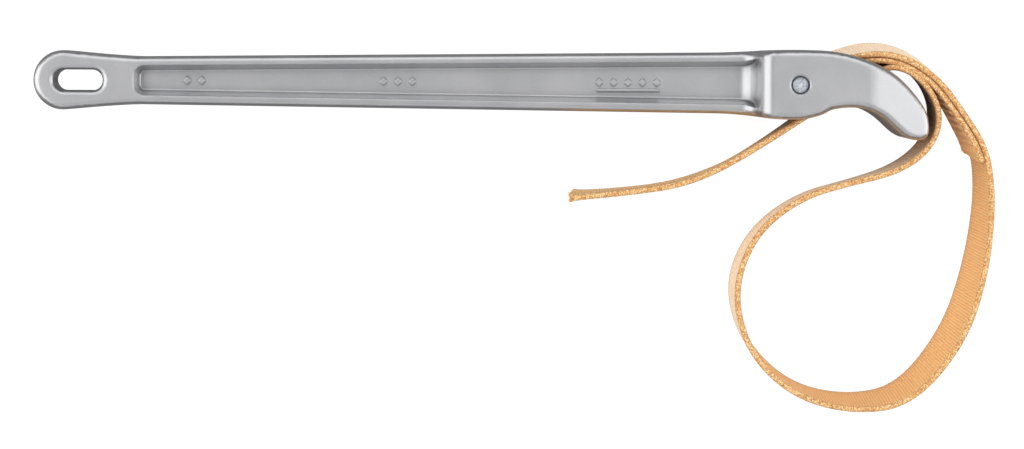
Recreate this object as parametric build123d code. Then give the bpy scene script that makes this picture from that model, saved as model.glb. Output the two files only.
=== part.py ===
from build123d import *
import math
import os

# Strap wrench lying on its side. X runs along the handle with the head at +X, Z is the way the strap pin points,
# and the lower flat cheek lies on z = 0. The origin is the middle of that cheek. All sizes are in millimetres.

# strap
strap_width = 44.5
strap_thickness = 2.8
eye_clearance = 0.08       # radial, strap eye to pin
layer_gap = 0.1            # between the doubled layers
strap_clearance = 1.7      # strap to the metal it runs past, which also leaves room for its lean
strap_droop = 2.6          # degrees, the loop hangs down to the bench
strap_swing = 5.0          # degrees, free swing of the strap about its pin
strap_rise = 21.1          # degrees, how the strap leaves the pin
eye_meeting = 16.0         # from the pin to where the two layers come together
split_gap = 0.05           # between strap lengths that belong to different bodies
tail_split = 0.4           # share of the run through the head that stays with the lead

# stitching of the sewn end
stitch_length = 3.2
stitch_thickness = 0.35
stitch_width = 0.8
stitch_rows = 6
stitch_row_pitch = 7.0
stitch_count = 8
stitch_pitch = 4.6
stitch_margin = 6.0        # from the cut end to the first stitch
stitch_lift = 0.1

# casting: overall sizes, and places along X measured from the middle of the cheek
casting_length = 457.0
nose_tip_x = 42.1
cheek_thickness = 7.0
strap_side_gap = 1.75      # strap edge to cheek, each side
handle_height = 22.0       # flange height of the I-beam, along Z
web_thickness = 6.0
edge_round = 3.2
handle_end_x = nose_tip_x - casting_length
head_width = strap_width + 2 * (strap_side_gap + cheek_thickness)
mid_z = head_width / 2

# handle, seen along Z
end_width = 30.4
neck_width = 24.6          # narrowest, just ahead of the hanging end
grip_width = 31.2          # widest, where the flanges meet the head
end_shoulder_x = handle_end_x + 15.2
end_flat = 3.0             # short straight before the shoulder narrows
end_taper = 0.2
neck_x = handle_end_x + 56.0
grip_x = -63.0
flange_width = 4.6         # top of each flange, outline to pocket
pocket_draft = 18.0        # degrees
pocket_left_x = handle_end_x + 51.4
pocket_corner = 3.0
pocket_foot_round = 0.9    # along the foot of the pocket's sides
pocket_run_out = 9.0       # radius under the head, where the web climbs to its rear wall

# head: its thickness, seen from the side
wall_x = -43.5             # the head's rear wall, at cheek height
wall_draft = 1.5           # how much further back its foot is, at flange height
cheek_start_x = -36.7      # flat cheek begins
nose_turn_x = 13.5         # from here the cheeks lean in towards the tip
nose_lean = 8.0            # degrees
nose_turn_radius = 30.0
root_radius = 9.0          # hollow curve between handle and head

# head, seen along Z: places its outline passes through, from the grip over the crown to the tip and back below
CROWN = [(cheek_start_x, 16.8), (-20.0, 17.1), (-8.0, 16.5), (2.0, 14.6), (12.0, 11.3), (22.0, 6.5), (32.1, -2.4),
         (39.4, -12.0)]
TIP = [(39.4, -12.0), (nose_tip_x - 0.2, -20.0), (36.5, -28.4)]
BELLY = [(36.5, -28.4), (27.3, -25.0), (20.6, -18.8), (12.5, -13.7), (0.5, -11.9), (-8.0, -13.2), (-20.0, -17.6)]
HEEL = [(-20.0, -17.6), (-27.0, -18.2), (grip_x, -grip_width / 2)]

# passage for the strap through the head
ramp_round = 12.0          # where the free strap turns into the passage
passage_corner = 2.0

# hanging hole
hang_hole_x = handle_end_x + 23.1
hang_hole_length = 25.0
hang_hole_width = 10.6
hang_hole_lip = 2.5

# strap pin
pin_x = -23.9
pin_y = -0.6
pin_diameter = 9.0
pin_chamfer = 1.1
pin_recess = 0.2
pin_fit = 0.05             # radial, pin to cheek
pin_countersink = 0.7

# raised marks on the web: share of the pocket's length where each group starts, and how many lozenges it has
MARKS = [(0.084, 2), (0.399, 3), (0.745, 5)]
mark_height = 0.7
mark_size = 3.1
mark_corner = 0.5
mark_pitch = 7.4
mark_bar_width = 1.3
mark_bar_drop = 4.0        # bar below the line of lozenges

eye_radius = pin_diameter / 2 + eye_clearance + strap_thickness / 2


def eye_tangent(angle):
    """Point of the eye's middle line where the strap leaves at this angle."""
    a = math.radians(angle)
    return (pin_x - eye_radius * math.sin(a), pin_y + eye_radius * math.cos(a))


def along(point, angle, distance):
    a = math.radians(angle)
    return (point[0] + distance * math.cos(a), point[1] + distance * math.sin(a))


def middle(a, b, share=0.5):
    return (a[0] + (b[0] - a[0]) * share, a[1] + (b[1] - a[1]) * share)


# The strap's middle line, seen along the pin: corners of a route whose runs are joined by large arcs.
rise_start = eye_tangent(strap_rise)
OVER_THE_TOP = [rise_start, along(rise_start, strap_rise, 30.0), (26.5, 17.8), (47.0, 4.4), (61.6, -19.0),
                (67.5, -30.5)]
LOOP = [(72.2, -43.5), (74.3, -66.0), (69.5, -98.0), (57.5, -130.0), (32.5, -160.0), (5.0, -166.0),
        (-24.5, -159.5), (-46.0, -139.5), (-55.5, -116.0)]
LEAD = [(-54.8, -95.0), (-43.5, -72.5), (-21.0, -57.0), (3.0, -49.5), (24.0, -43.5), (38.5, -35.0),
        (46.0, -24.0), (46.5, -12.0), (41.0, -0.5), (30.5, 9.0), (17.5, 10.0)]
TAIL = [(-47.0, -32.8), (-78.0, -50.0), (-109.0, -55.3), (-140.0, -57.2)]


def turn(a, b, c):
    u = Vector(b[0] - a[0], b[1] - a[1])
    v = Vector(c[0] - b[0], c[1] - b[1])
    return u.get_angle(v)


def arc_radii(points):
    """Largest even radii for the corners of a route: 0.45 of the shorter run over the tangent of half the turn."""
    radii = []
    for a, b, c in zip(points, points[1:], points[2:]):
        shorter = min(math.dist(a, b), math.dist(b, c))
        radii.append(0.45 * shorter / math.tan(math.radians(turn(a, b, c)) / 2))
    return radii


def offset_route(points, radii, distance):
    """The same route moved sideways, to the left of its direction, with its arcs kept concentric."""
    moved, new_radii = [], []
    for i, p in enumerate(points):
        before = points[max(i - 1, 0)]
        after = points[min(i + 1, len(points) - 1)]
        heading_in = math.atan2(p[1] - before[1], p[0] - before[0]) if i else None
        heading_out = math.atan2(after[1] - p[1], after[0] - p[0]) if i < len(points) - 1 else heading_in
        if heading_in is None:
            heading_in = heading_out
        half = math.remainder(heading_out - heading_in, math.tau) / 2
        middle_heading = heading_in + half
        reach = distance / math.cos(half)
        moved.append((p[0] - reach * math.sin(middle_heading), p[1] + reach * math.cos(middle_heading)))
        if 0 < i < len(points) - 1:
            new_radii.append(radii[i - 1] - math.copysign(distance, half))
    return moved, new_radii


def band(path):
    """Strap of full width swept along a flat path, at the height of the head's middle."""
    section_plane = Plane(origin=path @ 0, x_dir=(0, 0, 1), z_dir=path % 0)
    return sweep(section_plane * Rectangle(strap_width, strap_thickness), path=path)


def drooped(solid):
    """Tip the strap about the head's middle line, so that the far side of its loop hangs lower."""
    return Pos(0, 0, mid_z) * Rot(strap_droop, 0, 0) * solid


def casting_outline():
    """Outline of the whole casting, seen along Z."""
    end_round = end_width / 2
    flat_x, flat_y = end_shoulder_x + end_flat, end_round - end_taper
    end_arc = ThreePointArc((end_shoulder_x, -end_round), (handle_end_x, 0), (end_shoulder_x, end_round))
    upper = [Line((end_shoulder_x, end_round), (flat_x, flat_y)),
             Spline((flat_x, flat_y), (neck_x, neck_width / 2), tangents=[(1, -0.1), (1, 0)],
                    tangent_scalars=[1, 0.6]),
             Line((neck_x, neck_width / 2), (grip_x, grip_width / 2)),
             Spline((grip_x, grip_width / 2), *CROWN, tangents=[(1, 0.03), (0.5, -0.9)])]
    nose = [Spline(*TIP, tangents=[(0.5, -0.9), (-1, 0)]), Spline(*BELLY, tangents=[(-1, 0), (-1, -0.2)])]
    lower = [Spline(*HEEL, tangents=[(-1, -0.2), (-1, 0.03)]),
             Line((grip_x, -grip_width / 2), (neck_x, -neck_width / 2)),
             Spline((neck_x, -neck_width / 2), (flat_x, -flat_y), tangents=[(-1, 0), (-1, -0.1)],
                    tangent_scalars=[0.6, 1]),
             Line((flat_x, -flat_y), (end_shoulder_x, -end_round))]
    return make_face(upper + nose + lower + [end_arc])


def thickness_profile():
    """The casting's thickness along X, as a closed face in the XZ plane about z = 0."""
    beam = handle_height / 2
    cheek = head_width / 2
    past_tip = nose_tip_x + root_radius
    tip_z = cheek - (past_tip - nose_turn_x) * math.tan(math.radians(nose_lean))
    corner = cheek_start_x - wall_x
    upper = [(handle_end_x - end_flat, beam), (wall_x - wall_draft, beam), (wall_x, cheek), (nose_turn_x, cheek),
             (past_tip, tip_z)]
    lower = [(x, -z) for x, z in reversed(upper)]
    edges = FilletPolyline(*upper, radius=[root_radius, corner, nose_turn_radius])
    edges_below = FilletPolyline(*lower, radius=[nose_turn_radius, corner, root_radius])
    return make_face([edges, edges_below, Line(upper[-1], lower[0]), Line(lower[-1], upper[0])])


def casting_blank():
    """Handle and head as one block: the outline and the thickness profile cut each other."""
    plan = extrude(casting_outline(), head_width, both=True)
    side = extrude(Plane.XZ * thickness_profile(), head_width, both=True)
    return plan & side


def rounded(solid):
    """Round the casting's long edges, above and below, but not where the head turns into the handle."""
    chosen = ShapeList()
    for edge in solid.edges():
        centre = edge @ 0.5
        crossways = abs((edge % 0.5).Y) > 0.98 and centre.X > grip_x
        if abs(centre.Z) > web_thickness and not crossways:
            chosen.append(edge)
    return fillet(chosen, edge_round)


def half_width_at(x):
    """Half the handle's width between its neck and the head."""
    share = (x - neck_x) / (grip_x - neck_x)
    return (neck_width + share * (grip_width - neck_width)) / 2


def wall_at(z):
    """X of the head's rear wall at this height over the casting's middle plane."""
    rise = (z - handle_height / 2) / (head_width / 2 - handle_height / 2)
    return wall_x - wall_draft * (1 - rise)


def pocket_tool():
    """What is cut from the upper face between the flanges. Its sides widen upwards from the web, for the pattern's
    draft, and it ends in the plane of the head's rear wall."""
    floor_z = web_thickness / 2
    spread = (handle_height / 2 - floor_z) * math.tan(math.radians(pocket_draft))
    left, right = pocket_left_x + spread, wall_x + root_radius
    left_half = half_width_at(left) - flange_width - spread
    right_half = half_width_at(wall_x) - flange_width - spread
    floor = make_face(Polyline((left, -left_half), (right, -right_half), (right, right_half), (left, left_half),
                               close=True))
    floor = fillet(floor.vertices().group_by(Axis.X)[0], pocket_corner)
    tool = extrude(Pos(0, 0, floor_z) * floor, mid_z, taper=-pocket_draft)
    top_z = floor_z + mid_z
    side = make_face(Polyline((handle_end_x, floor_z), (wall_at(floor_z), floor_z), (wall_at(top_z), top_z),
                              (handle_end_x, top_z), close=True))
    tool &= extrude(Plane.XZ * side, head_width, both=True)
    foot = tool.edges().filter_by_position(Axis.Z, floor_z - pin_fit, floor_z + pin_fit).sort_by(Axis.X)
    tool = fillet(foot[-1], pocket_run_out)
    foot = tool.edges().filter_by_position(Axis.Z, floor_z - pin_fit, floor_z + pin_fit).sort_by(Axis.X)
    return fillet(foot[:-1], pocket_foot_round)


def slot_window():
    """The passage through the head, between the cheeks: behind the eye, under the roof and along the free run."""
    swung = strap_rise + strap_swing
    roof_gap = eye_radius + strap_thickness / 2 + strap_clearance
    roof_foot = along((pin_x, pin_y), swung + 90, roof_gap)
    roof_end = along(roof_foot, swung, head_width)
    run = math.degrees(math.atan2(LEAD[-1][1] - TAIL[0][1], LEAD[-1][0] - TAIL[0][0]))
    ramp_high = along(LEAD[-1], run - 90, strap_thickness / 2 + strap_clearance)
    ramp_low = along(ramp_high, run + 180, 1.3 * head_width)
    nose_top = (ramp_high[0] + head_width / 2, ramp_high[1] - strap_clearance)
    rear_high = (pin_x - roof_gap - strap_clearance / 3, roof_foot[1] - strap_clearance)
    rear_low = (rear_high[0], ramp_low[1])
    window = make_face(Polyline(rear_high, roof_foot, roof_end, nose_top, ramp_high, ramp_low, rear_low, close=True))
    window = fillet(window.vertices().sort_by_distance((*ramp_high, 0))[0:1], ramp_round)
    window = fillet(window.vertices().sort_by_distance((*rear_high, 0))[0:1], passage_corner)
    return extrude(window, head_width / 2 - cheek_thickness, both=True)


def hang_hole():
    shape = Pos(hang_hole_x, 0) * SlotOverall(hang_hole_length, hang_hole_width)
    return extrude(shape, handle_height, both=True)


def hang_hole_mouths(body):
    """The hole's edges in the two faces of the handle."""
    mouths = ShapeList()
    for edge in body.edges():
        centre = edge @ 0.5
        in_hole = abs(centre.X - hang_hole_x) <= hang_hole_length / 2 and abs(centre.Y) <= hang_hole_width / 2 + pin_fit
        if in_hole and abs(abs(centre.Z) - handle_height / 2) < pin_fit:
            mouths.append(edge)
    return mouths


def marks():
    """Raised lozenges and a bar on both sides of the web, part of the casting."""
    reach = web_thickness / 2 + mark_height
    solids = []
    for share, count in MARKS:
        start_x = pocket_left_x + share * (wall_x - pocket_left_x)
        for i in range(count):
            lozenge = Rot(0, 0, 45) * RectangleRounded(mark_size, mark_size, mark_corner)
            solids.append(extrude(Pos(start_x + i * mark_pitch, 0) * lozenge, reach, both=True))
    group_length = (count - 1) * mark_pitch
    bar = SlotOverall(group_length + mark_size, mark_bar_width)
    solids.append(extrude(Pos(start_x + group_length / 2, -mark_bar_drop) * bar, reach, both=True))
    return solids


def pin_holes():
    hole = extrude(Pos(pin_x, pin_y) * Circle(pin_diameter / 2 + pin_fit), head_width, both=True)
    mouth = Pos(pin_x, pin_y, head_width / 2 - pin_countersink / 2) * Cone(
        pin_diameter / 2 + pin_fit, pin_diameter / 2 + pin_fit + pin_countersink, pin_countersink)
    return hole + mouth + mirror(mouth, Plane.XY)


def wrench_handle():
    body = rounded(casting_blank())
    pocket = pocket_tool()
    body -= pocket
    body -= mirror(pocket, Plane.XY)
    body -= slot_window()
    body -= hang_hole()
    body = fillet(hang_hole_mouths(body), hang_hole_lip)
    body -= pin_holes()
    for solid in marks():
        body += solid
    return Pos(0, 0, mid_z) * body


def strap_pin():
    length = head_width - 2 * pin_recess
    pin = Cylinder(pin_diameter / 2, length)
    pin = chamfer(pin.edges().filter_by(GeomType.CIRCLE), pin_chamfer)
    return Pos(pin_x, pin_y, mid_z) * pin


def shortened(a, b, distance):
    """Point on the way from a to b, this far from a."""
    return middle(a, b, distance / math.dist(a, b))


def route_solid(points):
    return band(FilletPolyline(*points, radius=arc_radii(points)))


def doubled_route():
    """Middle line of the doubled end's outer layer, from the eye to the cut end of the layer under it."""
    return OVER_THE_TOP + [middle(OVER_THE_TOP[-1], LOOP[0])]


def strap_eye_end():
    """The sewn end: the layer that leaves the eye, and the one folded back under it, which comes round the pin."""
    points = doubled_route()
    radii = arc_radii(points)
    inner, inner_radii = offset_route(points, radii, -(strap_thickness + layer_gap))
    meeting = along(inner[0], strap_rise, eye_meeting)
    ring = Circle(eye_radius + strap_thickness / 2) - Circle(eye_radius - strap_thickness / 2)
    reach = math.dist(meeting, (pin_x, pin_y))
    heading = math.degrees(math.atan2(meeting[1] - pin_y, meeting[0] - pin_x))
    under = heading - math.degrees(math.acos(eye_radius / reach))
    low = along((pin_x, pin_y), under, eye_radius)
    clear_of_pin = along(points[0], strap_rise, pin_diameter / 2 + 1.0)
    end = drooped(band(FilletPolyline(clear_of_pin, *points[1:], radius=radii)))
    end += drooped(band(FilletPolyline(meeting, *inner[1:], radius=inner_radii)))
    upright = extrude(Pos(pin_x, pin_y) * ring, strap_width / 2, both=True)
    upright += band(Line(points[0], along(points[0], strap_rise, pin_diameter / 2 + 3.0)))
    upright += band(Line(low, meeting))
    return end + Pos(0, 0, mid_z) * upright


def eye_stitching():
    """Rows of thread through both layers near the cut end, seen on the outer face and on the inner one."""
    points = doubled_route()
    radii = arc_radii(points)
    path = FilletPolyline(*points, radius=radii)
    lift = strap_thickness / 2 + stitch_lift + stitch_thickness / 2
    under = lift + strap_thickness + layer_gap
    solids = []
    for row in range(stitch_rows):
        z = (row - (stitch_rows - 1) / 2) * stitch_row_pitch
        for i in range(stitch_count):
            distance = path.length - stitch_margin - i * stitch_pitch
            where = path.position_at(distance, position_mode=PositionMode.LENGTH)
            heading = path.tangent_angle_at(distance, position_mode=PositionMode.LENGTH)
            for side in (lift, -under):
                box = Pos(where.X, where.Y, z) * Rot(0, 0, heading) * Pos(0, side, 0)
                solids.append(drooped(box * Box(stitch_length, stitch_thickness, stitch_width)))
    return Compound(children=solids)


def strap_loop():
    start = middle(OVER_THE_TOP[-1], LOOP[0])
    end = middle(LOOP[-1], LEAD[0])
    return drooped(route_solid([start] + LOOP + [shortened(end, LOOP[-1], split_gap)]))


def strap_lead():
    start = middle(LOOP[-1], LEAD[0])
    end = middle(LEAD[-1], TAIL[0], tail_split)
    return drooped(route_solid([start] + LEAD + [end]))


def strap_tail():
    start = shortened(middle(LEAD[-1], TAIL[0], tail_split), TAIL[0], split_gap)
    return drooped(route_solid([start] + TAIL))


NODES = {
    "wrench_handle": wrench_handle,
    "strap_pin": strap_pin,
    "strap_eye_end": strap_eye_end,
    "eye_stitching": eye_stitching,
    "strap_loop": strap_loop,
    "strap_lead": strap_lead,
    "strap_tail": strap_tail,
}


def main():
    os.makedirs("parts", exist_ok=True)
    for name, make in NODES.items():
        export_step(make(), f"parts/{name}.step")
    for points in (doubled_route(), LOOP, LEAD, TAIL):
        print("bend radii", [round(r) for r in arc_radii(points)])


main()
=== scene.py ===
# %% [markdown]
# # A strap wrench
#
# The wrench lies on its side: a cast aluminium handle with a forked head, a steel pin through the
# fork, and one length of woven strap. The strap is sewn round the pin, leaves over the head, makes a
# loop for the pipe, comes back round the nose, runs through the head and ends in a free tail.
#
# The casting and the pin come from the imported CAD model, already the right shape, so they only get a
# finish here. The strap is soft. This script builds it again as real webbing: a smooth line, a
# rounded section, knuckled edges and a weave.

# %% Load the frame
import math
import random

import bpy
import numpy as np
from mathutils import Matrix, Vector


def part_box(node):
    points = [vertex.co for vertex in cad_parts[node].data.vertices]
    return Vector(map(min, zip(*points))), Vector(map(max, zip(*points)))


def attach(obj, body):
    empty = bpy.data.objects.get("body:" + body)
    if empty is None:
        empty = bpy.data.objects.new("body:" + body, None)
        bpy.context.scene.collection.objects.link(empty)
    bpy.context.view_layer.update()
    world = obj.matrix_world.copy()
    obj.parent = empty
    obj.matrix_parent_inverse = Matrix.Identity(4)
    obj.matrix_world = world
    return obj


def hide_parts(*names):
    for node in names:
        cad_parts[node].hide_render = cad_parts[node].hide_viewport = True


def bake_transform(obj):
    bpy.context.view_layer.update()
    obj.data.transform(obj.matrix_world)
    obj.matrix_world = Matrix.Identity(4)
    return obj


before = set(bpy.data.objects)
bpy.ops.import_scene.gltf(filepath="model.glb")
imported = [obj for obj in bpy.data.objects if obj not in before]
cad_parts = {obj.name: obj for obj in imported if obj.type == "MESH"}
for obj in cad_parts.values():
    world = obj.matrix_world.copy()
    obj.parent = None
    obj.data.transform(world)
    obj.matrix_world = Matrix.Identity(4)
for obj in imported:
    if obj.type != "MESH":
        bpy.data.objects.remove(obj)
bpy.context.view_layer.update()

# %% [markdown]
# ## Driving sizes
#
# All lengths are in metres, as Blender and the frame count them, and MM turns millimetres into
# metres. The webbing is 3.05 mm thick here and 2.8 mm in the plain CAD strap, because the thinner
# edge looked too slight beside the head. The strap's middle plane is the middle of the pin, which is
# read from the frame.

# %% Driving sizes
MM = 0.001
STRAP_WIDTH = 44.5 * MM
STRAP_THICKNESS = 3.05 * MM
LAYER_GAP = 0.1 * MM
PIN = (-23.9, -0.6)
EYE_RADIUS = 6.12
RISE = 21.1
RISE_LENGTH = 30.0
EYE_MEETING = 16.0 * MM
DROOP = math.radians(2.6)

pin_low, pin_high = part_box("strap_pin")
MID_Z = (pin_low[2] + pin_high[2]) / 2
print("middle plane at mm", round(MID_Z / MM, 2))

# %% [markdown]
# ## The strap's route
#
# Seen along the pin, the middle line of the strap follows a list of corners, in millimetres. It could
# be drawn as a chain of arcs, but stiff webbing has no true arcs: it bends a little everywhere. A
# smooth spline with these corners as its control points bends in the same way. Each corner also has a
# lean: how many degrees the strap's upper edge tips to the left of its direction of travel.
#
# The route is one line in three lengths, because the loop turns about the pin, the tail slides, and
# the length between them bends. Neighbouring lengths meet on a straight between two corners, so they
# join without a kink.

# %% Route
def along(point, degrees, distance):
    a = math.radians(degrees)
    return (point[0] + distance * math.cos(a), point[1] + distance * math.sin(a))


def share(a, b, t=0.5):
    """The point that lies the share t of the way from a to b."""
    return tuple(p + (q - p) * t for p, q in zip(a, b))


rise_start = (*along(PIN, RISE + 90, EYE_RADIUS), 0.0)
rise_end = (*along(rise_start, RISE + 1.2, RISE_LENGTH), -6.0)
OVER_THE_TOP = [rise_start, rise_end, (26.0, 18.0, -6.2), (47.5, 5.1, -4.2), (62.6, -18.6, 0.6),
                (69.3, -30.1, 2.2)]
LOOP = [(73.2, -43.2, 2.8), (74.1, -66.1, 4.9), (69.9, -98.0, 7.8), (59.5, -130.8, 8.8), (35.0, -161.8, 6.8),
        (6.7, -166.9, 4.2), (-23.1, -160.1, 2.3), (-45.3, -140.3, 1.5), (-54.8, -116.5, -0.9)]
LEAD = [(-53.6, -95.2, -1.2), (-42.1, -73.8, 0.9), (-20.0, -58.0, 2.0), (3.9, -51.3, 2.4),
        (25.3, -45.3, 0.2), (39.8, -36.0, -0.8), (47.2, -24.4, -0.4), (48.0, -11.9, 1.1),
        (42.0, 0.5, 3.0), (30.7, 9.7, 4.2), (17.3, 10.1, 3.4)]
TAIL = [(-45.3, -35.1, -3.2), (-77.3, -51.0, -0.4), (-108.6, -56.4, -1.0), (-138.4, -58.5, 0.8)]
LEAD_END_SHARE = 0.4

loop_end = share(LOOP[-1], LEAD[0])
lead_end = share(LEAD[-1], TAIL[0], LEAD_END_SHARE)
ROUTES = {
    "loop": OVER_THE_TOP + LOOP + [loop_end],
    "lead": [loop_end] + LEAD + [lead_end],
    "tail": [lead_end] + TAIL,
}
print("corners", {name: len(corners) for name, corners in ROUTES.items()})

# %% [markdown]
# ## From corners to a smooth line
#
# Blender has splines of its own, so the curve object does the work: a NURBS spline of order 3 is
# made, turned into points and thrown away. Its points lie unevenly. The weave and the scalloped edges
# need rings at an even pitch, so the line is measured out again in equal steps.

# %% Smooth lines
RING_PITCH = 0.45 * MM
SPLINE_STEPS = 24


def spline_points(points):
    """Points along a smooth spline with these control points."""
    curve = bpy.data.curves.new("route", "CURVE")
    curve.dimensions = "3D"
    curve.resolution_u = SPLINE_STEPS
    spline = curve.splines.new("NURBS")
    spline.points.add(len(points) - 1)
    for target, point in zip(spline.points, points):
        target.co = (*point, 1.0)
    spline.order_u = 3
    spline.use_endpoint_u = True
    holder = bpy.data.objects.new("route", curve)
    mesh = bpy.data.meshes.new_from_object(holder)
    found = np.array([v.co[:] for v in mesh.vertices])
    bpy.data.objects.remove(holder)
    bpy.data.curves.remove(curve)
    bpy.data.meshes.remove(mesh)
    return found


def run_length(points):
    """How far along the line each point is."""
    steps = np.linalg.norm(np.diff(points, axis=0), axis=1)
    return np.concatenate([[0.0], np.cumsum(steps)])


def evenly(points, pitch):
    """The same line at an even pitch, and how far along each point is. Columns after x, y, z ride along."""
    distance = run_length(points[:, :3])
    count = max(int(round(distance[-1] / pitch)), 2)
    even = np.linspace(0.0, distance[-1], count + 1)
    columns = [np.interp(even, distance, points[:, i]) for i in range(points.shape[1])]
    return np.stack(columns, 1), even


def hung(line):
    """Tip the flat route about the head's middle line, because the loop droops towards the bench."""
    out = line.copy()
    out[:, 1] = line[:, 1] * math.cos(DROOP)
    out[:, 2] = MID_Z + line[:, 1] * math.sin(DROOP)
    return out


def smooth_route(corners):
    """The middle line in metres, the lean along it in radians, and the distance along it."""
    flat = spline_points([(x * MM, y * MM, 0.0) for x, y, lean in corners])
    leans = spline_points([(math.radians(lean), 0.0, 0.0) for x, y, lean in corners])[:, :1]
    both, distance = evenly(np.hstack([flat, leans]), RING_PITCH)
    return hung(both[:, :3]), both[:, 3], distance


lines = {name: smooth_route(corners) for name, corners in ROUTES.items()}
for name, (line, lean, distance) in lines.items():
    print(name, "length in mm", round(distance[-1] / MM, 1), "rings", len(line))

# %% [markdown]
# ## Which way the strap faces
#
# A ribbon needs more than a line: at each ring it has a direction of travel, a left face and an upper
# edge. Left is found from the travel and the vertical, and then the lean turns both about the line.

# %% Section axes
def headings(line):
    """The direction of travel at each point."""
    tangent = np.gradient(line, axis=0)
    return tangent / np.linalg.norm(tangent, axis=1, keepdims=True)


def section_axes(line, lean):
    """For each point: along the strap, across its face to the left, and up its width."""
    tangent = headings(line)
    left = np.cross((0.0, 0.0, 1.0), tangent)
    left /= np.linalg.norm(left, axis=1, keepdims=True)
    up = np.cross(tangent, left)
    c, s = np.cos(lean)[:, None], np.sin(lean)[:, None]
    return tangent, c * left - s * up, c * up + s * left


print("axes at the pin", [np.round(a[0], 2).tolist() for a in section_axes(*lines["loop"][:2])])

# %% [markdown]
# ## The folded end
#
# The webbing comes off the top of the pin, and its own end is folded round the back of the pin and
# sewn under it. That second layer could be drawn by hand too, but then the two would drift apart or
# cut into each other. Here it is found from the layer above it, one thickness further in, so that
# they always lie on each other. Only the turn round the pin is an arc, and a short straight joins the
# two where the layers meet.

# %% Folded layer
EYE_POINTS = 90
MEETING_STEPS = 24


def folded_line(sewn_length):
    """From the top of the pin, round behind it, to the cut end under the outer layer."""
    line, lean, distance = lines["loop"]
    tangent, left, up = section_axes(line, lean)
    start = np.searchsorted(distance, EYE_MEETING)
    cut = np.searchsorted(distance, sewn_length)
    under = (line - left * (STRAP_THICKNESS + LAYER_GAP))[start:cut]
    pin = np.array([PIN[0] * MM, PIN[1] * MM])
    reach = under[0, :2] - pin
    radius = EYE_RADIUS * MM
    first = math.radians(RISE + 90)
    leave = math.atan2(reach[1], reach[0]) - math.acos(radius / np.linalg.norm(reach))
    turns = np.linspace(first, leave + math.tau, EYE_POINTS)
    level = np.full(EYE_POINTS, MID_Z)
    ring = np.stack([pin[0] + radius * np.cos(turns), pin[1] + radius * np.sin(turns), level], 1)
    steps = np.linspace(0.0, 1.0, MEETING_STEPS)[1:-1, None]
    rise = ring[-1] + (under[0] - ring[-1]) * steps
    whole = np.vstack([ring, rise, under])
    leans = np.concatenate([np.zeros(EYE_POINTS), steps[:, 0] * lean[start], lean[start:cut]])
    both, even = evenly(np.hstack([whole, leans[:, None]]), RING_PITCH)
    return both[:, :3], both[:, 3], even


cut_corner = share(OVER_THE_TOP[-1], LOOP[0])
loop_line, loop_lean, loop_distance = lines["loop"]
from_cut = np.hypot(loop_line[:, 0] - cut_corner[0] * MM, loop_line[:, 1] - cut_corner[1] * MM)
sewn_length = loop_distance[np.argmin(from_cut)]
lines["fold"] = folded_line(sewn_length)
print("sewn length in mm", round(sewn_length / MM, 1), "folded layer", round(lines["fold"][2][-1] / MM, 1))

# %% [markdown]
# ## The webbing's section
#
# Heavy webbing has two flat faces and rounded edges. A bevelled rectangle swept by a modifier would
# do for the shape, but it gives no say over each ring, and the next cell needs that. So the outline
# is a list of points: up the left face, over the upper edge, down the right face and under the lower
# edge.

# %% Section outline
FACE_POINTS = 9
EDGE_POINTS = 8
FACE_SHARE = 0.46
EDGE_BULGE = 0.9


def section(width, thickness):
    """Outline of the strap: (across, up) points, and their place round it from 0 to 1."""
    half, radius = width / 2 - thickness / 2, thickness / 2
    points, places, edges = [], [], []
    for side in (1, -1):
        begin = 0.0 if side == 1 else 0.5
        for i in range(FACE_POINTS):
            t = i / (FACE_POINTS - 1)
            points.append((side * radius, side * half * (2 * t - 1)))
            places.append(begin + FACE_SHARE * t)
            edges.append(0.0)
        for i in range(1, EDGE_POINTS):
            t = i / EDGE_POINTS
            a = math.pi * t
            bulge = EDGE_BULGE * radius * math.sin(a)
            points.append((side * radius * math.cos(a), side * (half + bulge)))
            places.append(begin + FACE_SHARE + (0.5 - FACE_SHARE) * t)
            edges.append(math.sin(a))
    return np.array(points), np.array(places), np.array(edges)


OUTLINE, PLACES, EDGES = section(STRAP_WIDTH, STRAP_THICKNESS)
print("points round the section", len(OUTLINE))

# %% [markdown]
# ## The webbing's surface
#
# Along the edges the weft yarns turn back, so each edge is a row of small knuckles. They are real
# geometry: each ring swells and sinks with its distance along the strap, but only near the edges. A
# cut end can also swell, where the yarns have let go of each other, and slant, where the cut was not
# square.

# %% Webbing points
KNUCKLE_PITCH = 2.1 * MM
KNUCKLE_HEIGHT = 0.09 * MM
FLARE_REACH = 2.5 * MM
SLANT_REACH = 8.0 * MM


def webbing_points(line, lean, distance, start, flare, slant):
    """One ring of points for each point of the line."""
    tangent, left, up = section_axes(line, lean)
    across, rise = OUTLINE[:, 0], OUTLINE[:, 1]
    to_end = distance[-1] - distance
    swell = 1.0 + flare * np.exp(-to_end / FLARE_REACH)
    phase = (distance + start) / KNUCKLE_PITCH * math.tau
    lobes = np.where(across >= 0, 1.0, -1.0) * math.pi / 2
    knuckle = KNUCKLE_HEIGHT * np.abs(np.sin(phase[:, None] / 2 + lobes[None, :])) * EDGES[None, :]
    grow = 1.0 + knuckle / (STRAP_THICKNESS / 2)
    core = np.sign(rise) * (STRAP_WIDTH / 2 - STRAP_THICKNESS / 2)
    beyond = np.where(np.abs(rise) > np.abs(core), rise - core, 0.0)
    rise_now = rise[None, :] + beyond[None, :] * (grow - 1.0)
    across_now = across[None, :] * grow * swell[:, None]
    shear = slant * rise_now / STRAP_WIDTH * np.exp(-to_end / SLANT_REACH)[:, None]
    rings = line[:, None, :] + left[:, None, :] * across_now[..., None]
    rings = rings + up[:, None, :] * rise_now[..., None]
    return rings + tangent[:, None, :] * shear[..., None]


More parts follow.
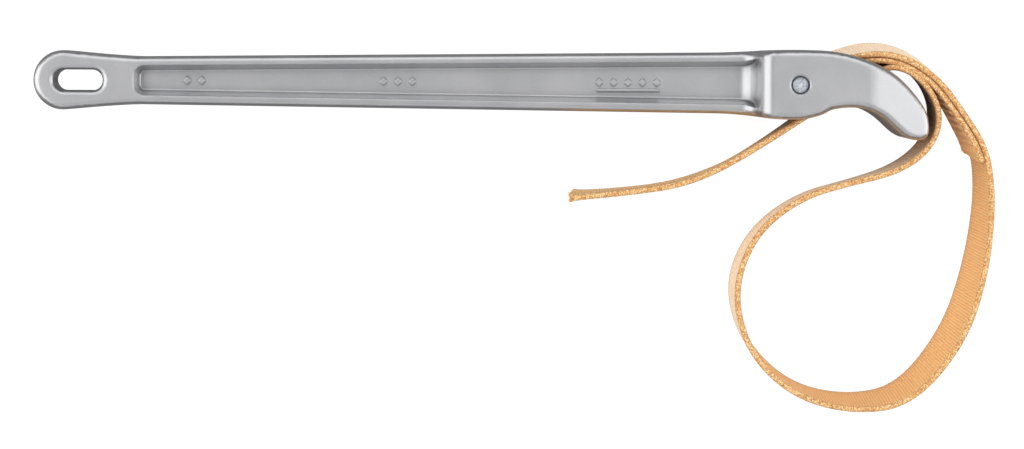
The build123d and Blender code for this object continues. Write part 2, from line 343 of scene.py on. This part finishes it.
plain = webbing_points(*lines["tail"], start=0.0, flare=0.0, slant=0.0)
print("tail as a plain strap", plain.shape)

# %% [markdown]
# ## From points to meshes
#
# The rings are joined by quads and closed by a flat cap at each end. The UV map, named weave, runs
# along the strap in metres and round the section from 0 to 1, so that the finish can count real
# yarns. It needs one care: the quads that close the ring have to end at 1, not go back to 0.

# %% Webbing meshes
def unrolled(mesh, distance, start, quad_count):
    """The weave coordinates of each corner of each face."""
    n = len(OUTLINE)
    loops = np.zeros(len(mesh.loops), dtype=int)
    mesh.loops.foreach_get("vertex_index", loops)
    ring, place = loops // n, PLACES[loops % n]
    in_quads = loops[:4 * quad_count].reshape(-1, 4) % n
    closing = (in_quads.max(1) == n - 1) & (in_quads.min(1) == 0)
    place_in_quads = place[:4 * quad_count].reshape(-1, 4)
    place_in_quads[closing] = np.where(in_quads[closing] == 0, 1.0, place_in_quads[closing])
    place[:4 * quad_count] = place_in_quads.reshape(-1)
    return np.stack([distance[ring] + start, place], 1)


def webbing(name, line, lean, distance, start=0.0, flare=0.0, slant=0.0):
    """A piece of webbing along a line. flare thickens its far end, slant cuts that end at an angle."""
    points = webbing_points(line, lean, distance, start, flare, slant)
    rings, n = points.shape[:2]
    a = np.arange(rings - 1)[:, None] * n + np.arange(n)[None, :]
    b = np.arange(rings - 1)[:, None] * n + (np.arange(n)[None, :] + 1) % n
    quads = np.stack([a, b, b + n, a + n], -1).reshape(-1, 4)
    faces = [tuple(q) for q in quads[:, ::-1].tolist()]
    faces.append(tuple(range(n)))
    faces.append(tuple(reversed(range((rings - 1) * n, rings * n))))
    mesh = bpy.data.meshes.new(name)
    mesh.from_pydata(points.reshape(-1, 3).tolist(), [], faces)
    weave = mesh.uv_layers.new(name="weave")
    weave.data.foreach_set("uv", unrolled(mesh, distance, start, len(quads)).astype(np.float32).ravel())
    for polygon in mesh.polygons:
        polygon.use_smooth = len(polygon.vertices) == 4
    mesh.update()
    piece = bpy.data.objects.new(name, mesh)
    bpy.context.collection.objects.link(piece)
    return piece


FOLD_FLARE = 0.1
FOLD_SLANT = 4.0 * MM
TAIL_FLARE = 0.45
TAIL_SLANT = 3.5 * MM

loop_length = lines["loop"][2][-1]
lead_length = lines["lead"][2][-1]
strap_loop = webbing("strap_loop_webbing", *lines["loop"])
strap_fold = webbing("strap_fold_webbing", *lines["fold"], flare=FOLD_FLARE, slant=FOLD_SLANT)
strap_lead = webbing("strap_lead_webbing", *lines["lead"], start=loop_length)
strap_tail = webbing("strap_tail_webbing", *lines["tail"], start=loop_length + lead_length, flare=TAIL_FLARE,
                     slant=TAIL_SLANT)
strap_pieces = (strap_loop, strap_fold, strap_lead, strap_tail)
for piece in strap_pieces:
    print(piece.name, len(piece.data.vertices), "points")

# %% [markdown]
# ## Small node helpers
#
# Each finish is a short node tree. Adding nodes and links one by one takes many lines, so this class
# does both: a socket of another node is linked, and a plain number or colour is set.

# %% Node helpers
class Tree:
    """A new material with its nodes, its links and its Principled shader."""

    def __init__(self, name):
        self.material = bpy.data.materials.new(name)
        self.material.use_nodes = True
        self.nodes = self.material.node_tree.nodes
        self.links = self.material.node_tree.links
        self.shader = self.nodes["Principled BSDF"]

    def put(self, socket, value):
        if hasattr(value, "is_linked"):
            self.links.new(value, socket)
        else:
            socket.default_value = value

    def node(self, kind, out=0, **inputs):
        """Add a node, set its own settings and its inputs by name, and give back one output."""
        made = self.nodes.new(kind)
        for key, value in inputs.items():
            if hasattr(made, key):
                setattr(made, key, value)
            else:
                self.put(made.inputs[key.replace("_", " ")], value)
        return made.outputs[out]

    def maths(self, operation, a, b=0.0):
        made = self.nodes.new("ShaderNodeMath")
        made.operation = operation
        self.put(made.inputs[0], a)
        self.put(made.inputs[1], b)
        return made.outputs[0]

    def mix(self, factor, a, b):
        made = self.nodes.new("ShaderNodeMix")
        made.data_type = "RGBA"
        self.put(made.inputs["Factor"], factor)
        self.put(made.inputs[6], a)
        self.put(made.inputs[7], b)
        return made.outputs[2]

    def ramp(self, value, *stops):
        """A value between 0 and 1 turned into a grey, by (place, grey) stops."""
        made = self.nodes.new("ShaderNodeValToRGB")
        while len(made.color_ramp.elements) < len(stops):
            made.color_ramp.elements.new(0.5)
        for element, (place, grey) in zip(made.color_ramp.elements, stops):
            element.position = place
            element.color = (grey, grey, grey, 1.0)
        self.put(made.inputs[0], value)
        return made.outputs[0]

    def split(self, vector):
        """The x, y and z of a vector."""
        made = self.nodes.new("ShaderNodeSeparateXYZ")
        self.put(made.inputs[0], vector)
        return made.outputs

    def join(self, x, y):
        """A flat vector from two values."""
        made = self.nodes.new("ShaderNodeCombineXYZ")
        self.put(made.inputs[0], x)
        self.put(made.inputs[1], y)
        return made.outputs[0]


def colour(red, green, blue):
    """A colour given as it looks on a screen, 0 to 255, turned into the light values that nodes use."""
    linear = []
    for part in (red, green, blue):
        c = part / 255
        linear.append(c / 12.92 if c <= 0.04045 else ((c + 0.055) / 1.055) ** 2.4)
    return (*linear, 1.0)


print("mid grey as light", [round(part, 3) for part in colour(128, 128, 128)])

# %% [markdown]
# ## Cast aluminium
#
# The casting is satin aluminium, lightly blasted: even and grey, with a faint grain and slow patches
# where the surface took the blasting differently. Metallic at 1 makes its colour come from what it
# reflects. Noise gives the grain twice, once as a small change of tone and once as a small bump.
#
# A casting has no sharp corners. The Bevel node rounds how they take the light and leaves the mesh alone.
# Its radius stays small, because a larger one smears the short end walls of the pocket. The walls and
# corners of the pocket are painted darker than its floor, as painted shade: Ambient Occlusion finds places
# that are closed in like that.

# %% Cast aluminium
CORNER_RADIUS = 1.25 * MM
CORNER_REACH = 8.0 * MM
PAINTED_SHADE_GREY = (0.20, 0.20, 0.21, 1)
BRIGHT_GREY = (0.655, 0.655, 0.66, 1)
DULL_GREY = (0.575, 0.58, 0.595, 1)
CAST_ROUGHNESS = 0.31
ROUGHNESS_SPREAD = 0.10


def cast_aluminium():
    t = Tree("cast_aluminium_finish")
    place = t.node("ShaderNodeTexCoord", out=3)
    grain = t.node("ShaderNodeTexNoise", Vector=place, Scale=1400.0, Detail=3.0, Roughness=0.6)
    patches = t.node("ShaderNodeTexNoise", Vector=place, Scale=38.0, Detail=4.0, Roughness=0.55)
    speckle = t.node("ShaderNodeTexNoise", Vector=place, Scale=2400.0, Detail=2.0, Roughness=0.7)
    tone = t.maths("ADD", t.maths("MULTIPLY", patches, 0.5), t.maths("MULTIPLY", speckle, 0.5))
    tint = t.mix(t.ramp(tone, (0.38, 0.0), (0.62, 1.0)), DULL_GREY, BRIGHT_GREY)
    # Painted shade: closed-in walls and corners of the pocket are painted a deeper grey.
    openness_for_painted_shade = t.node("ShaderNodeAmbientOcclusion", out=1, samples=6, Distance=CORNER_REACH)
    tint = t.mix(t.ramp(openness_for_painted_shade, (0.45, 0.0), (0.80, 1.0)), PAINTED_SHADE_GREY, tint)
    t.put(t.shader.inputs["Base Color"], tint)
    t.shader.inputs["Metallic"].default_value = 1.0
    rough = t.maths("ADD", CAST_ROUGHNESS, t.maths("MULTIPLY", patches, ROUGHNESS_SPREAD))
    t.put(t.shader.inputs["Roughness"], rough)
    rounded = t.node("ShaderNodeBevel", samples=6, Radius=CORNER_RADIUS)
    bump = t.node("ShaderNodeBump", Height=grain, Strength=0.14, Distance=0.2 * MM, Normal=rounded)
    t.put(t.shader.inputs["Normal"], bump)
    return t.material


cast_finish = cast_aluminium()
print(cast_finish.name, len(cast_finish.node_tree.nodes), "nodes")

# %% [markdown]
# ## The pin's end
#
# The pin is zinc plated steel. Its turned end is mottled and bluish, with a dull ring near its rim and a
# dark line round its edge. The pin is round, so Generated coordinates, which run from 0 to 1 over its box,
# give the distance from its middle, and one ramp of that distance draws both rings.

# %% Zinc steel
def zinc_steel():
    t = Tree("zinc_steel_finish")
    place = t.node("ShaderNodeTexCoord", out=3)
    mottle = t.node("ShaderNodeTexNoise", Vector=place, Scale=620.0, Detail=4.0, Roughness=0.65)
    tint = t.mix(t.ramp(mottle, (0.38, 0.0), (0.62, 1.0)), colour(178, 190, 204), colour(250, 252, 252))
    centred = t.node("ShaderNodeMapping", Vector=t.node("ShaderNodeTexCoord"), Location=(-0.5, -0.5, 0.0))
    x, y, z = t.split(centred)
    radius = t.maths("SQRT", t.maths("ADD", t.maths("MULTIPLY", x, x), t.maths("MULTIPLY", y, y)))
    # A dull ring near the rim and a dark grey line round the edge.
    rim_rings = t.ramp(radius, (0.0, 0.0), (0.30, 0.0), (0.34, 0.35), (0.38, 0.0), (0.455, 0.0), (0.475, 1.0))
    t.put(t.shader.inputs["Base Color"], t.mix(rim_rings, tint, colour(58, 58, 62)))
    t.shader.inputs["Metallic"].default_value = 1.0
    t.put(t.shader.inputs["Roughness"], t.maths("ADD", 0.28, t.maths("MULTIPLY", mottle, 0.2)))
    bump = t.node("ShaderNodeBump", Height=mottle, Strength=0.25, Distance=0.2 * MM)
    t.put(t.shader.inputs["Normal"], bump)
    return t.material


pin_finish = zinc_steel()
print(pin_finish.name, len(pin_finish.node_tree.nodes), "nodes")

# %% [markdown]
# ## The webbing's finish
#
# An image of woven cloth would be the quick way. Nodes are used instead, so that every yarn is at its
# real scale. They read the weave map: u is metres along the strap, v goes round it.
#
# The weft shows as fine ribs across both faces, a sine of u that wanders a little. The face that is on the
# outside of the loop is painted paler: painted sheen, standing in for the glancing light that face catches.
# On the edges the yarns turn back, and there a Voronoi texture makes a mosaic of light and dark flecks, with
# painted shade in the gaps between them. Between the layers the strap is painted deeper in colour, as
# painted shade with the warmth of light that has bounced from strap to strap: Ambient Occlusion finds those
# places too.

# %% Webbing finish
RIB_PITCH = 1.5 * MM
RIB_WANDER = 0.6 * MM
YARN_PITCH = 1.1 * MM
FLECK_PITCH = 0.65 * MM
FLECKS_ROUND = 150.0
LAYER_REACH = 25.0 * MM
PERIMETER = 2 * STRAP_WIDTH
EDGE_OVERLAP = 0.012


def webbing_finish():
    t = Tree("webbing_finish")
    u, v, unused = t.split(t.node("ShaderNodeUVMap", uv_map="weave"))
    flat = t.join(u, t.maths("MULTIPLY", v, PERIMETER))
    outer = t.maths("LESS_THAN", v, FACE_SHARE)
    on_edge = t.maths("GREATER_THAN", t.maths("MODULO", v, 0.5), FACE_SHARE - EDGE_OVERLAP)

    wander = t.node("ShaderNodeTexNoise", Vector=flat, Scale=260.0, Detail=2.0)
    shifted = t.maths("ADD", u, t.maths("MULTIPLY", wander, RIB_WANDER))
    rib = t.maths("SINE", t.maths("MULTIPLY", shifted, math.tau / RIB_PITCH))
    rib = t.maths("ADD", t.maths("MULTIPLY", rib, 0.5), 0.5)
    inner_face = t.mix(rib, colour(233, 173, 97), colour(251, 203, 130))
    # Painted light: the outer face is painted paler, standing in for the sheen it shows in glancing light.
    outer_face_painted_paler = t.mix(rib, colour(254, 217, 173), colour(255, 240, 211))
    face = t.mix(outer, inner_face, outer_face_painted_paler)
    cloud = t.node("ShaderNodeTexNoise", Vector=flat, Scale=90.0, Detail=3.0)
    face = t.mix(t.maths("MULTIPLY", cloud, 0.2), face, colour(230, 172, 106))

    mosaic = t.join(t.maths("MULTIPLY", u, 1.0 / FLECK_PITCH), t.maths("MULTIPLY", v, FLECKS_ROUND))
    gaps = t.node("ShaderNodeTexVoronoi", Vector=mosaic, Scale=1.0, Randomness=0.75)
    flecks = t.node("ShaderNodeTexVoronoi", out=1, Vector=mosaic, Scale=1.0, Randomness=0.8)
    picked = t.node("ShaderNodeSeparateColor", Color=flecks)
    edge = t.mix(t.ramp(picked, (0.35, 0.0), (0.65, 1.0)), colour(212, 157, 92), colour(238, 210, 158))
    # Painted shade: the gaps between the flecks, low in the bump, are painted a darker brown.
    edge = t.mix(t.ramp(gaps, (0.42, 0.0), (0.75, 1.0)), edge, colour(168, 114, 62))

    body = t.mix(on_edge, face, edge)
    fine = t.node("ShaderNodeTexNoise", Vector=flat, Scale=1500.0, Detail=2.0)
    body = t.mix(t.maths("MULTIPLY", fine, 0.2), body, colour(214, 152, 90))
    # Painted shade: closed-in places between the layers are painted a deeper brown, standing in for light
    # bounced from strap to strap.
    openness_for_painted_shade = t.node("ShaderNodeAmbientOcclusion", out=1, samples=6, Distance=LAYER_REACH)
    body = t.mix(t.ramp(openness_for_painted_shade, (0.25, 0.0), (0.85, 1.0)), colour(166, 108, 54), body)
    t.put(t.shader.inputs["Base Color"], body)
    t.shader.inputs["Roughness"].default_value = 0.78
    t.shader.inputs["Sheen Weight"].default_value = 0.12
    t.shader.inputs["Sheen Roughness"].default_value = 0.5

    yarn = t.maths("SINE", t.maths("MULTIPLY", v, math.tau * PERIMETER / YARN_PITCH))
    face_height = t.maths("ADD", t.maths("MULTIPLY", rib, 0.7), t.maths("MULTIPLY", yarn, 0.12))
    edge_height = t.maths("SUBTRACT", 1.0, gaps)
    height = t.nodes.new("ShaderNodeMix")
    t.put(height.inputs[0], on_edge)
    t.put(height.inputs[2], face_height)
    t.put(height.inputs[3], edge_height)
    bump = t.node("ShaderNodeBump", Height=height.outputs[0], Strength=0.55, Distance=0.4 * MM)
    t.put(t.shader.inputs["Normal"], bump)
    return t.material


strap_finish = webbing_finish()
print(strap_finish.name, len(strap_finish.node_tree.nodes), "nodes")

# %% [markdown]
# ## Thread
#
# The sewing thread and the yarns' loose ends are too thin for a pattern. A little noise in the colour
# and the height keeps them from looking moulded.

# %% Thread finish
def thread():
    t = Tree("thread_finish")
    place = t.node("ShaderNodeTexCoord", out=3)
    noise = t.node("ShaderNodeTexNoise", Vector=place, Scale=900.0, Detail=2.0)
    t.put(t.shader.inputs["Base Color"], t.mix(noise, colour(222, 166, 100), colour(248, 216, 160)))
    t.shader.inputs["Roughness"].default_value = 0.7
    t.shader.inputs["Sheen Weight"].default_value = 0.3
    t.put(t.shader.inputs["Normal"], t.node("ShaderNodeBump", Height=noise, Strength=0.3, Distance=0.2 * MM))
    return t.material


thread_finish = thread()
print(thread_finish.name, len(thread_finish.node_tree.nodes), "nodes")

# %% [markdown]
# ## Putting the finishes on
#
# A CAD node arrives as triangles whose shading is smoothed over the whole piece, which smears its
# flat faces. The mesh itself is right, so it isn't touched: edges over 32 degrees are marked sharp,
# and a Weighted Normal modifier lets the large flat faces shade flat.

# %% Finishes on the pieces
SHARP_OVER = math.radians(32)


def wear(piece, finish):
    piece.data.materials.clear()
    piece.data.materials.append(finish)


def finish_node(name, finish):
    """Give a CAD node its finish, with crisp corners and flat faces that shade flat."""
    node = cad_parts[name]
    for slot in node.material_slots:
        slot.material = finish
    node.data.set_sharp_from_angle(angle=SHARP_OVER)
    flat_first = node.modifiers.new("flat_faces_first", "WEIGHTED_NORMAL")
    flat_first.keep_sharp = True
    flat_first.weight = 100
    print(name, "wears", finish.name)


finish_node("wrench_handle", cast_finish)
finish_node("strap_pin", pin_finish)
for piece in strap_pieces:
    wear(piece, strap_finish)

# %% [markdown]
# ## Thin round things
#
# Stitches and yarn ends are both short, thin and round. A curve with a round bevel would make each
# one, but there are more than two hundred, so one mesh holds many tubes: a small ring of points at
# each step of each path.

# %% Tubes
TUBE_SIDES = 7


def beads(name, paths, radius, sides=TUBE_SIDES):
    """Tubes along short paths, closed at both ends, in one mesh."""
    points, faces = [], []
    for path in paths:
        first = len(points)
        tangent = headings(path)
        helper = np.where(np.abs(tangent[:, 2:3]) > 0.9, [[1.0, 0, 0]], [[0, 0, 1.0]])
        side = np.cross(tangent, helper)
        side /= np.linalg.norm(side, axis=1, keepdims=True)
        other = np.cross(tangent, side)
        for i in range(len(path)):
            for k in range(sides):
                a = math.tau * k / sides
                points.append(tuple(path[i] + radius * (math.cos(a) * side[i] + math.sin(a) * other[i])))
        for i in range(len(path) - 1):
            for k in range(sides):
                a, b = first + i * sides + k, first + i * sides + (k + 1) % sides
                faces.append((a, b, b + sides, a + sides))
        faces.append(tuple(reversed(range(first, first + sides))))
        faces.append(tuple(range(first + (len(path) - 1) * sides, first + len(path) * sides)))
    mesh = bpy.data.meshes.new(name)
    mesh.from_pydata(points, [], faces)
    for polygon in mesh.polygons:
        polygon.use_smooth = True
    piece = bpy.data.objects.new(name, mesh)
    bpy.context.collection.objects.link(piece)
    wear(piece, thread_finish)
    return piece


print("sides of a tube", TUBE_SIDES)

# %% [markdown]
# ## Stitching
#
# The sewn end is held by rows of heavy thread near its cut end. Each stitch is a short arched bead
# that sinks into the webbing at both ends, as pulled thread does. The rows show on both sides of the
# doubled strap.

# %% Stitches
STITCH_ROWS = 6
STITCH_ROW_PITCH = 7.0 * MM
STITCH_COUNT = 8
STITCH_PITCH = 4.6 * MM
STITCH_MARGIN = 6.0 * MM
STITCH_LENGTH = 3.4 * MM
STITCH_RADIUS = 0.36 * MM
STITCH_LIFT = 0.02 * MM
STITCH_SINK = 0.6 * MM
STITCH_STEPS = 7


def stitch_paths():
    line, lean, distance = lines["loop"]
    tangent, left, up = section_axes(line, lean)
    top = STRAP_THICKNESS / 2
    bottom = -(1.5 * STRAP_THICKNESS + LAYER_GAP)
    paths = []
    for row in range(STITCH_ROWS):
        z = (row - (STITCH_ROWS - 1) / 2) * STITCH_ROW_PITCH
        for i in range(STITCH_COUNT):
            centre = sewn_length - STITCH_MARGIN - i * STITCH_PITCH
            for face, way in ((top, 1), (bottom, -1)):
                path = []
                for t in np.linspace(-1, 1, STITCH_STEPS):
                    at = np.searchsorted(distance, centre + t * STITCH_LENGTH / 2)
                    lift = STITCH_LIFT - STITCH_SINK * t ** 4
                    path.append(line[at] + up[at] * z + left[at] * (face + way * lift))
                paths.append(np.array(path))
    return paths


stitching = beads("strap_stitching", stitch_paths(), STITCH_RADIUS)
print("stitches", STITCH_ROWS * STITCH_COUNT * 2)

# %% [markdown]
# ## Frayed ends
#
# Both cut ends show the yarns' own ends. Hair particles could make them, but a few dozen short stubs
# that stand out of the cut, a little spread, are enough and stay the same each time: each end has its
# own seed.

# %% Frays
YARN_RADIUS = 0.28 * MM
YARN_SIDES = 5
YARN_MARGIN = 1.5 * MM
YARN_ROOT = 0.8 * MM
YARN_JITTER = 0.4
YARN_SPREAD = 0.42
YARN_SPLAY = 0.25
YARN_BEND = 0.3
YARN_SHORTEST = 0.45
YARN_STEPS = (0.0, 0.35, 0.7, 1.0)
FLARED = 1.2
TAIL_YARNS = 64
TAIL_YARN_LENGTH = 2.2 * MM
FOLD_YARNS = 48
FOLD_YARN_LENGTH = 1.5 * MM


def fray_paths(name, slant, count, longest, seed):
    line, lean, distance = lines[name]
    tangent, left, up = section_axes(line, lean)
    picker = random.Random(seed)
    paths = []
    for i in range(count):
        z = (i + 0.5 + picker.uniform(-YARN_JITTER, YARN_JITTER)) / count - 0.5
        across = picker.uniform(-YARN_SPREAD, YARN_SPREAD) * STRAP_THICKNESS * FLARED
        base = line[-1] + up[-1] * z * (STRAP_WIDTH - YARN_MARGIN) + left[-1] * across
        base = base + tangent[-1] * (slant * z - YARN_ROOT)
        way = tangent[-1] + left[-1] * (across / STRAP_THICKNESS + picker.uniform(-YARN_SPLAY, YARN_SPLAY))
        way = way + up[-1] * picker.uniform(-YARN_SPLAY, YARN_SPLAY)
        way = way / np.linalg.norm(way)
        bend = left[-1] * picker.uniform(-YARN_BEND, YARN_BEND) * MM
        reach = longest * picker.uniform(YARN_SHORTEST, 1.0)
        paths.append(np.array([base + way * reach * t + bend * t * t for t in YARN_STEPS]))
    return paths


tail_yarns = fray_paths("tail", TAIL_SLANT, TAIL_YARNS, TAIL_YARN_LENGTH, seed=4)
tail_fray = beads("tail_fray", tail_yarns, YARN_RADIUS, YARN_SIDES)
fold_yarns = fray_paths("fold", FOLD_SLANT, FOLD_YARNS, FOLD_YARN_LENGTH, seed=9)
fold_fray = beads("fold_fray", fold_yarns, YARN_RADIUS, YARN_SIDES)
print("yarn ends", TAIL_YARNS + FOLD_YARNS)

# %% [markdown]
# ## What moves with what
#
# The sewn end and the loop turn about the pin, so they ride the strap's body, and the tail's frayed end
# rides the tail's body. The tail slides through the head. Two lengths can't ride one body without tearing:
# the length round the nose bends between the loop and the head, and the start of the tail stays in the head
# while the rest is drawn. Those two ride no body, and their points are set where they stand.
#
# The plain CAD nodes of the strap, its sewn end and its stitching are hidden.

# %% Bodies
for piece in (strap_loop, strap_fold, stitching, fold_fray):
    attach(piece, "strap")
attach(tail_fray, "tail")

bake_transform(strap_lead)
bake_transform(strap_tail)

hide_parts("strap_eye_end")
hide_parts("strap_loop")
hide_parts("eye_stitching")
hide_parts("strap_lead")
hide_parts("strap_tail")

print("strap in mm", round(sum(lines[n][2][-1] for n in ("loop", "lead", "tail")) / MM))

# %% [markdown]
# ## The bench
#
# A white sheet that is lit evenly. A plain white floor would need very strong light to come out
# white, so to the camera this one glows and still takes a soft shadow. To the wrench it is an
# ordinary surface: pale where it lights the strap, and darker where it is mirrored in the metal,
# which keeps the casting's rim dark.

# %% Floor
FLOOR_REACH = 6.0
FLOOR_DROP = 1.2 * MM
FLOOR_GLOW = 0.93
PALE = (0.75, 0.75, 0.75, 1)
DARK = (0.2, 0.2, 0.2, 1)
SHADOW_GREY = (0.16, 0.16, 0.16, 1)


def floor():
    r = FLOOR_REACH
    mesh = bpy.data.meshes.new("floor")
    mesh.from_pydata([(-r, -r, 0), (r, -r, 0), (r, r, 0), (-r, r, 0)], [], [(0, 1, 2, 3)])
    piece = bpy.data.objects.new("floor", mesh)
    bpy.context.collection.objects.link(piece)
    piece.location.z = -FLOOR_DROP
    t = Tree("floor_finish")
    glow = t.node("ShaderNodeEmission", Color=(1, 1, 1, 1), Strength=FLOOR_GLOW)
    matte = t.node("ShaderNodeBsdfDiffuse", Color=SHADOW_GREY)
    glowing = t.nodes.new("ShaderNodeAddShader")
    t.put(glowing.inputs[0], glow)
    t.put(glowing.inputs[1], matte)
    mirrored = t.node("ShaderNodeLightPath", out=3)
    dull = t.node("ShaderNodeBsdfDiffuse", Color=t.mix(mirrored, PALE, DARK))
    pick = t.nodes.new("ShaderNodeMixShader")
    t.put(pick.inputs[0], t.node("ShaderNodeLightPath", out=0))
    t.put(pick.inputs[1], dull)
    t.put(pick.inputs[2], glowing.outputs[0])
    t.put(t.nodes["Material Output"].inputs[0], pick.outputs[0])
    wear(piece, t.material)
    return piece


print("floor below the wrench by mm", round(-floor().location.z / MM, 1))

# %% [markdown]
# ## Studio light
#
# Satin metal shows what is round it, so the lights are chosen for their reflections. A large, soft
# light on each side is what the slopes at the head and on the nose mirror. The one behind draws a
# light line along every rail, and the one in front is weak, so each rail turns dark on its near side.
# Two low ones light the steep walls that face left and right. The sky is mid grey overhead, which is
# what the flat faces mirror, and dark at the horizon.
#
# The strap isn't shiny and needs more light than that: a large fill hangs over everything, and is
# kept out of the metal's reflections.

# %% Light
MIDDLE = (-0.17, -0.06, 0.03)
SKY = [(0.0, 0.05), (0.25, 0.10), (0.6, 0.30), (0.85, 0.50), (1.0, 0.56)]


def soft_light(name, where, width, height, power):
    light = bpy.data.lights.new(name, "AREA")
    light.shape = "RECTANGLE"
    light.size, light.size_y = width, height
    light.energy = power
    holder = bpy.data.objects.new(name, light)
    bpy.context.collection.objects.link(holder)
    holder.location = where
    holder.rotation_mode = "QUATERNION"
    holder.rotation_quaternion = (Vector(MIDDLE) - Vector(where)).to_track_quat("-Z", "Y")
    print(name, "watts", power)
    return holder


def sky():
    world = bpy.data.worlds.new("studio")
    bpy.context.scene.world = world
    world.use_nodes = True
    nodes, links = world.node_tree.nodes, world.node_tree.links
    place = nodes.new("ShaderNodeTexCoord")
    parts = nodes.new("ShaderNodeSeparateXYZ")
    links.new(place.outputs["Generated"], parts.inputs[0])
    ramp = nodes.new("ShaderNodeValToRGB")
    while len(ramp.color_ramp.elements) < len(SKY):
        ramp.color_ramp.elements.new(0.5)
    for element, (height, grey) in zip(ramp.color_ramp.elements, SKY):
        element.position = height
        element.color = (grey, grey, grey * 1.02, 1)
    links.new(parts.outputs["Z"], ramp.inputs[0])
    links.new(ramp.outputs[0], nodes["Background"].inputs["Color"])


sky()
soft_light("left_soft_box", (-1.75, 0.0, 1.25), width=1.9, height=2.0, power=16)
soft_light("right_soft_box", (1.35, 0.0, 1.5), width=1.7, height=2.2, power=12.5)
soft_light("back_soft_box", (-0.2, 1.35, 1.35), width=2.8, height=1.1, power=11)
soft_light("right_low_box", (1.9, 0.0, 0.35), width=1.6, height=0.7, power=9)
soft_light("left_low_box", (-2.2, 0.0, 0.35), width=1.6, height=0.7, power=4)
soft_light("front_soft_box", (-0.1, -1.55, 1.2), width=2.8, height=1.0, power=4.5)
fill = soft_light("overhead_fill", (-0.17, 0.0, 2.6), width=4.0, height=4.0, power=56)
fill.visible_glossy = False

# %% [markdown]
# ## Camera
#
# It looks almost straight down from about 1.8 m, with a long lens, so the strap shows mostly its
# upper edge. The Standard view keeps the greys as the lights make them.

# %% Camera
camera = bpy.data.objects.new("camera", bpy.data.cameras.new("camera"))
bpy.context.collection.objects.link(camera)
camera.location = (-0.17287, 0.02097, 1.81289)
camera.rotation_euler = (-0.052972, -0.001642, 0.004829)
camera.data.lens = 121.707
camera.data.sensor_width = 36.0
camera.data.clip_end = 20.0
bpy.context.scene.camera = camera
bpy.context.scene.view_settings.view_transform = "Standard"
print("camera height in m", round(camera.location.z, 3))
